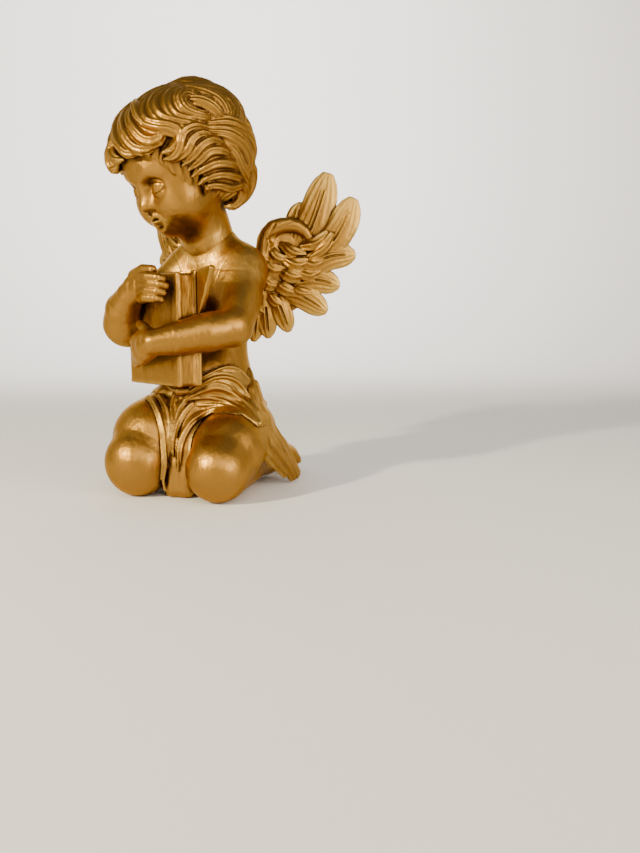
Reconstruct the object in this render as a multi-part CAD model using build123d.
from build123d import *

import os
from math import asin, cos, radians, sin

# Kneeling winged cherub statuette, 156 mm tall, hugging a closed book.
# Blocked-up construction: a kneeling body block, a head set on a neck dowel, two arms set on
# shoulder dowels round a loose book, two wings on pegs in the back, and a draped loincloth.
# Frame: +Z up, the figure faces -Y, its left side is +X, and the origin is on the flat underside.
# All sizes are in millimetres.

# ---- driving dimensions ---------------------------------------------------------------
KNEE_SPREAD = 17.0      # half distance between the knee centres
KNEE_FORWARD = -31.0    # knee centres ahead of the origin
KNEE_R = 10.8
HEAD_YAW = 28.0         # the head turns towards the figure's right
HEAD_PITCH = 25.0       # and looks down
HEAD_CENTRE = (-6.3, -15.4, 124.8)
HAIR_R = 25.5           # hair mass, without its curls
HAIR_REACH = 28.5       # outside of the curls
BOOK_W, BOOK_H, BOOK_T = 31.5, 43.0, 8.5
BOOK_YAW = 24.0
BOOK_CORNER = (2.6, -33.6, 42.3)   # lower front corner on the spine side
COVER_T = 1.6
CLOTH_T = 2.0
WING_ROOT = (6.0, 12.0)            # where the wing's plane meets the back, in plan
WING_SWEEP = 25.0                  # the wing's plane is swept back from the X axis
WING_T = 4.0
DOWEL_R = 2.5
PEG_R = 1.6
GLUE_GAP = 0.05                    # radial room for glue round a dowel

# curls as the turn from straight ahead to the left, the rise above level, and the radius
CURLS = [
    (0, 62, 10.5), (60, 45, 11.0), (-60, 45, 11.0), (120, 50, 10.5), (-120, 50, 10.5),
    (45, 5, 9.0), (-50, 5, 9.0), (-150, 5, 11.0), (180, -32, 10.0), (118, -15, 9.0),
    (-118, -15, 9.0), (-92, 15, 9.0),
]

PARTS = "parts"


# ---- helpers --------------------------------------------------------------------------
def round_cone(start, end, r_start, r_end):
    """Two spheres and the cone that touches both, as one solid of revolution."""
    start, end = Vector(start), Vector(end)
    run = end - start
    length = run.length
    lean = asin((r_start - r_end) / length)
    low = (r_start * cos(lean), r_start * sin(lean))
    high = (r_end * cos(lean), length + r_end * sin(lean))
    half = radians(45) + lean / 2
    with BuildPart() as made:
        with BuildSketch(Plane.XZ):
            with BuildLine():
                ThreePointArc(
                    (0, -r_start),
                    (r_start * sin(half), -r_start * cos(half)),
                    low,
                )
                Line(low, high)
                over = radians(90) - (radians(90) - lean) / 2
                ThreePointArc(
                    high,
                    (r_end * cos(over), length + r_end * sin(over)),
                    (0, length + r_end),
                )
                Line((0, length + r_end), (0, -r_start))
            make_face()
        revolve(axis=Axis.Z)
    return made.part.moved(Plane(origin=start, z_dir=run.normalized()).location)


def ball(centre, radius):
    return Pos(*centre) * Sphere(radius)


def egg(centre, half_width, half_height, direction=(0, 0, 1)):
    """An ellipsoid of revolution about direction."""
    with BuildPart() as made:
        with BuildSketch(Plane.XZ):
            Ellipse(half_width, half_height)
            with Locations((-2 * half_width, 0)):
                Rectangle(4 * half_width, 4 * half_height, mode=Mode.SUBTRACT)
        revolve(axis=Axis.Z)
    return made.part.moved(Plane(origin=centre, z_dir=direction).location)


def rod(start, end, radius):
    start, end = Vector(start), Vector(end)
    run = end - start
    place = Plane(origin=start, z_dir=run.normalized()).location
    return place * Cylinder(
        radius, run.length, align=(Align.CENTER, Align.CENTER, Align.MIN)
    )


def mirrored(point):
    return (-point[0], point[1], point[2])


def head_axes():
    """The head's own left, forward and up directions."""
    yaw, pitch = radians(HEAD_YAW), radians(HEAD_PITCH)
    ahead = Vector(-sin(yaw), -cos(yaw), 0)
    left = Vector(cos(yaw), -sin(yaw), 0)
    forward = ahead * cos(pitch) - Vector(0, 0, 1) * sin(pitch)
    up = ahead * sin(pitch) + Vector(0, 0, 1) * cos(pitch)
    return left, forward, up


def head_point(left, forward, up):
    """A point given in the head's own directions, from the centre of the skull."""
    left_axis, forward_axis, up_axis = head_axes()
    at = Vector(HEAD_CENTRE) + left_axis * left + forward_axis * forward + up_axis * up
    return (at.X, at.Y, at.Z)


def above_ground(shape, level=0.0):
    slab = Pos(0, 0, level - 40) * Box(300, 300, 80)
    return shape - slab


# ---- the pieces -----------------------------------------------------------------------
def make_body():
    """Torso, hips, folded legs and feet, cut flat underneath."""
    side_lumps = []
    for side in (1, -1):
        knee = (side * KNEE_SPREAD, KNEE_FORWARD, KNEE_R - 0.3)
        thigh = (side * 15.0, -17.0, 18.0)
        hip = (side * 10.5, -1.0, 24.0)
        ankle = (side * 11.5, 25.0, 6.4)
        side_lumps += [
            round_cone(knee, thigh, KNEE_R, 14.2),
            round_cone(thigh, hip, 14.2, 15.0),
            ball((side * 8.5, 9.0, 23.0), 14.5),
            round_cone(knee, (side * 14.5, -4.0, 8.4), KNEE_R - 0.4, 9.0),
            round_cone((side * 14.5, -4.0, 8.4), ankle, 9.0, 6.6),
            round_cone(ankle, (side * 10.5, 44.0, 4.6), 6.6, 4.6),
            ball((side * 11.2, 37.0, 7.2), 6.2),
        ]
    trunk = [
        egg((0, -3, 38), 17.5, 21.0),
        ball((0, -6.5, 46), 16.5),
        round_cone((0, -2, 58), (0, -1, 78), 15.5, 13.5),
        round_cone((-9.8, -0.5, 85), (9.8, -0.5, 85), 8.7, 8.8),
        round_cone((0, 0, 86), (-1.0, -2.5, 94), 12.0, 10.2),
    ]
    web = Pos(0, 2, 3) * Box(30, 66, 6)
    body = trunk[0]
    for lump in trunk[1:] + side_lumps + [web]:
        body = body + lump
    return above_ground(body)


def make_head():
    """Skull, face, hair mass and neck."""
    lumps = [
        ball(head_point(0, -3, 5), HAIR_R),
        egg(head_point(0, 5.0, -5.5), 16.6, 17.2, head_axes()[2]),
        ball(head_point(7.8, 11.0, -10.0), 8.0),
        ball(head_point(-7.8, 11.0, -10.2), 8.0),
        ball(head_point(0, 13.5, -15.2), 6.1),
        round_cone(head_point(0, 17.4, -2.6), head_point(0, 19.6, -7.4), 2.6, 3.0),
        ball(head_point(-5.5, 19.5, 14), 8.6),
        round_cone((-1.2, -2.5, 95.5), (-4.0, -9.5, 110.0), 10.2, 9.8),
    ]
    for turn, rise, size in CURLS:
        reach = HAIR_REACH - size
        left, forward = sin(radians(turn)), cos(radians(turn))
        flat = reach * cos(radians(rise))
        spot = (flat * left, flat * forward - 3, reach * sin(radians(rise)) + 5)
        lumps.append(ball(head_point(*spot), size))
    head = lumps[0]
    for lump in lumps[1:]:
        head = head + lump
    return head


def make_left_arm():
    """Upper arm down the side, forearm across the front of the book."""
    shoulder, elbow = (12.2, -2.0, 85.0), (17.6, -20.5, 62.0)
    wrist, palm = (-3.5, -40.6, 59.0), (-10.0, -35.6, 57.0)
    arm = round_cone(shoulder, elbow, 8.6, 8.0)
    arm = arm + round_cone(elbow, wrist, 7.8, 5.4)
    arm = arm + round_cone(wrist, palm, 5.2, 4.4)
    for finger in range(4):
        drop = 4.2 - 2.8 * finger
        knuckle = (-12.5, -32.6, 55.5 + drop)
        tip = (-19.5, -28.0, 52.5 + drop)
        arm = arm + round_cone(knuckle, tip, 2.2, 1.8)
    return arm


def make_right_arm():
    """Upper arm forward, forearm folded back up to a fist on the cover."""
    shoulder, elbow = (-12.6, -2.0, 84.5), (-28.6, -19.8, 64.5)
    wrist, fist = (-20.5, -27.6, 76.0), (-16.0, -30.0, 79.0)
    arm = round_cone(shoulder, elbow, 8.8, 9.4)
    arm = arm + round_cone(elbow, wrist, 9.2, 5.8)
    arm = arm + round_cone(wrist, fist, 5.6, 5.2)
    for finger in range(4):
        drop = 4.4 - 2.9 * finger
        knuckle, tip = (-12.0, -32.4, 79.4 + drop), (-4.0, -33.6, 79.0 + drop)
        arm = arm + round_cone(knuckle, tip, 2.3, 1.8)
    return arm


def book_place():
    """The book's own frame: X from fore-edge to spine, Y into its thickness, Z up."""
    yaw = radians(BOOK_YAW)
    return Plane(
        origin=BOOK_CORNER, x_dir=(cos(yaw), -sin(yaw), 0), z_dir=(0, 0, 1)
    ).location


def make_book():
    """A closed book: a cover with a rounded spine round a recessed block of pages."""
    solid = Pos(-BOOK_W / 2, BOOK_T / 2, BOOK_H / 2) * Box(BOOK_W, BOOK_T, BOOK_H)
    solid = fillet(solid.edges().filter_by(Axis.Z).group_by(Axis.X)[-1], 2.6)
    gap = BOOK_T - 2 * COVER_T
    for level in (0.4, BOOK_H - 0.4):
        cut = Pos(-BOOK_W / 2 - 1.5, BOOK_T / 2, level) * Box(BOOK_W, gap, 0.8)
        solid = solid - cut
    fore_edge = Pos(-BOOK_W + 0.4, BOOK_T / 2, BOOK_H / 2) * Box(0.8, gap, BOOK_H)
    back_board = Pos(1.0, BOOK_T - COVER_T / 2, BOOK_H / 2) * Box(9.0, COVER_T, BOOK_H)
    return book_place() * (solid - fore_edge + back_board)


def wing_point(span, height, out=0.0):
    """A point in the left wing's plane: span from the root, height, and out towards its front."""
    sweep = radians(WING_SWEEP)
    return (
        WING_ROOT[0] + span * cos(sweep) + out * sin(sweep),
        WING_ROOT[1] + span * sin(sweep) - out * cos(sweep),
        height,
    )


def make_left_wing():
    """Overlapping feathers as rounded blades, on a thick rounded shoulder and root."""
    feathers = [
        # base span, base height, tip span, tip height, half width, set forward
        (22, 92, 32.0, 118.2, 6.6, 0.0),
        (25, 91, 41.0, 107.0, 6.2, 0.7),
        (22, 87, 38.0, 91.0, 5.6, 1.2),
        (18, 83, 30.6, 80.5, 5.0, 0.8),
        (15, 79, 26.8, 72.6, 4.8, 0.3),
        (11, 77, 15.4, 67.2, 4.2, 0.0),
        (6, 76, 7.4, 63.6, 4.4, -0.4),
        (18, 98, 22.6, 108.6, 4.6, -0.3),
    ]
    wing = None
    for base_s, base_z, tip_s, tip_z, half_w, forward in feathers:
        run = Vector(tip_s - base_s, tip_z - base_z)
        blade = SlotCenterToCenter(run.length, 2 * half_w)
        blade = extrude(blade, WING_T / 2, both=True)
        middle = wing_point((base_s + tip_s) / 2, (base_z + tip_z) / 2, forward)
        along = Vector(wing_point(tip_s, tip_z)) - Vector(wing_point(base_s, base_z))
        facing = Vector(sin(radians(WING_SWEEP)), -cos(radians(WING_SWEEP)), 0)
        blade = Plane(origin=middle, x_dir=along.normalized(), z_dir=facing) * blade
        wing = blade if wing is None else wing + blade
    rounds = [
        (wing_point(8, 88, 0.5), wing_point(10.4, 100, 0.5), 4.4, 4.0),
        (wing_point(10.4, 100, 0.5), wing_point(16, 103.2, 0.5), 4.0, 4.0),
        (wing_point(16, 103.2, 0.5), wing_point(23.5, 101, 0.5), 4.0, 3.8),
        (wing_point(7.5, 74, 0.5), wing_point(7.5, 90, 0.5), 5.0, 5.2),
        (wing_point(10, 80, 0.8), wing_point(22, 88, 0.8), 5.4, 4.8),
        (wing_point(12, 88, 0.4), wing_point(20, 95, 0.4), 5.6, 5.4),
        (wing_point(1, 80, 0.0), wing_point(8, 82, 0.0), 4.2, 5.0),
    ]
    for start, end, r_start, r_end in rounds:
        wing = wing + round_cone(start, end, r_start, r_end)
    return wing


def make_loincloth(body):
    """Cloth wrapped round the hips, with a fall between the knees and a tail on the left."""
    wrap = egg((0, -3, 38), 17.5 + CLOTH_T, 21.0 + CLOTH_T)
    for side in (1, -1):
        hip = (side * 10.5, -1.0, 24.0)
        wrap = wrap + round_cone((side * 15.0, -17.0, 18.0), hip, 14.2 + CLOTH_T, 15.0 + CLOTH_T)
        wrap = wrap + ball((side * 8.5, 9.0, 23.0), 14.5 + CLOTH_T)
    keep = Pos(0, 0, 33) * Rotation(-14, 0, 0) * Box(80, 90, 18)
    wrap = wrap & keep
    tail = round_cone((24, 6, 26), (25, 18, 6.4), 5.0, 4.4)
    tail = tail + round_cone((25, 18, 6.4), (27, 27, 3.6), 4.4, 2.8)
    fall = round_cone((-1, -26, 30), (-1, -29, 8), 3.2, 2.6)
    fall = fall + round_cone((-1, -29, 8), (-1, -28, 3.4), 2.6, 2.4)
    fall = fall + round_cone((-1, -22, 34), (-1, -26, 30), 3.4, 3.2)
    cloth = above_ground(wrap + tail + fall, 0.4)
    return largest(cloth - body)


def largest(shape):
    """The biggest solid of a cut that leaves crumbs."""
    return max(shape.solids(), key=lambda s: s.volume)


def mirror_wing(wing):
    return mirror(wing, about=Plane.YZ)


def main():
    os.makedirs(PARTS, exist_ok=True)
    body = make_body()
    head = make_head()
    left_arm, right_arm = make_left_arm(), make_right_arm()
    book = make_book()
    left_wing = make_left_wing()
    right_wing = mirror_wing(left_wing)

    neck = [(-0.4, -1.5, 82.0), (-3.0, -8.0, 107.0)]
    left_shoulder = [(4.0, -1.0, 85.5), (16.0, -4.0, 83.5)]
    right_shoulder = [(-4.0, -1.0, 85.0), (-17.0, -5.5, 81.5)]
    sweep = radians(WING_SWEEP)
    inward = (cos(sweep) * 0.55, sin(sweep) * 1.6)
    pegs = []
    for height in (78.0, 86.0):
        tip = wing_point(9.0, height, 0.2)
        pegs.append((tip, (tip[0] - 8 * inward[0], tip[1] - 10 * inward[1], height)))

    dowels = {
        "neck_dowel": [rod(*neck, DOWEL_R)],
        "left_shoulder_dowel": [rod(*left_shoulder, DOWEL_R)],
        "right_shoulder_dowel": [rod(*right_shoulder, DOWEL_R)],
        "left_wing_pegs": [rod(*ends, PEG_R) for ends in pegs],
        "right_wing_pegs": [rod(mirrored(a), mirrored(b), PEG_R) for a, b in pegs],
    }
    holes = [rod(*ends, DOWEL_R + GLUE_GAP) for ends in (neck, left_shoulder, right_shoulder)]
    holes += [rod(*ends, PEG_R + GLUE_GAP) for ends in pegs]
    holes += [rod(mirrored(a), mirrored(b), PEG_R + GLUE_GAP) for a, b in pegs]

    body = body - head - left_arm - right_arm - book - left_wing - right_wing
    cloth = make_loincloth(body)
    cloth = largest(cloth - book - left_arm - right_arm)
    left_arm = left_arm - book
    right_arm = right_arm - book - left_arm
    right_wing = right_wing - left_wing
    pieces = {
        "body": body,
        "head": head - left_wing - right_wing,
        "left_arm": left_arm - head,
        "right_arm": right_arm - head,
        "book": book,
        "loincloth": cloth,
        "left_wing": left_wing,
        "right_wing": right_wing,
    }
    for name, shape in pieces.items():
        for hole in holes:
            shape = shape - hole
        pieces[name] = largest(shape)
    for name, shape in pieces.items():
        export_step(shape, f"{PARTS}/{name}.step")
    for name, solids in dowels.items():
        shape = solids[0] if len(solids) == 1 else Compound(children=solids)
        export_step(shape, f"{PARTS}/{name}.step")


main()
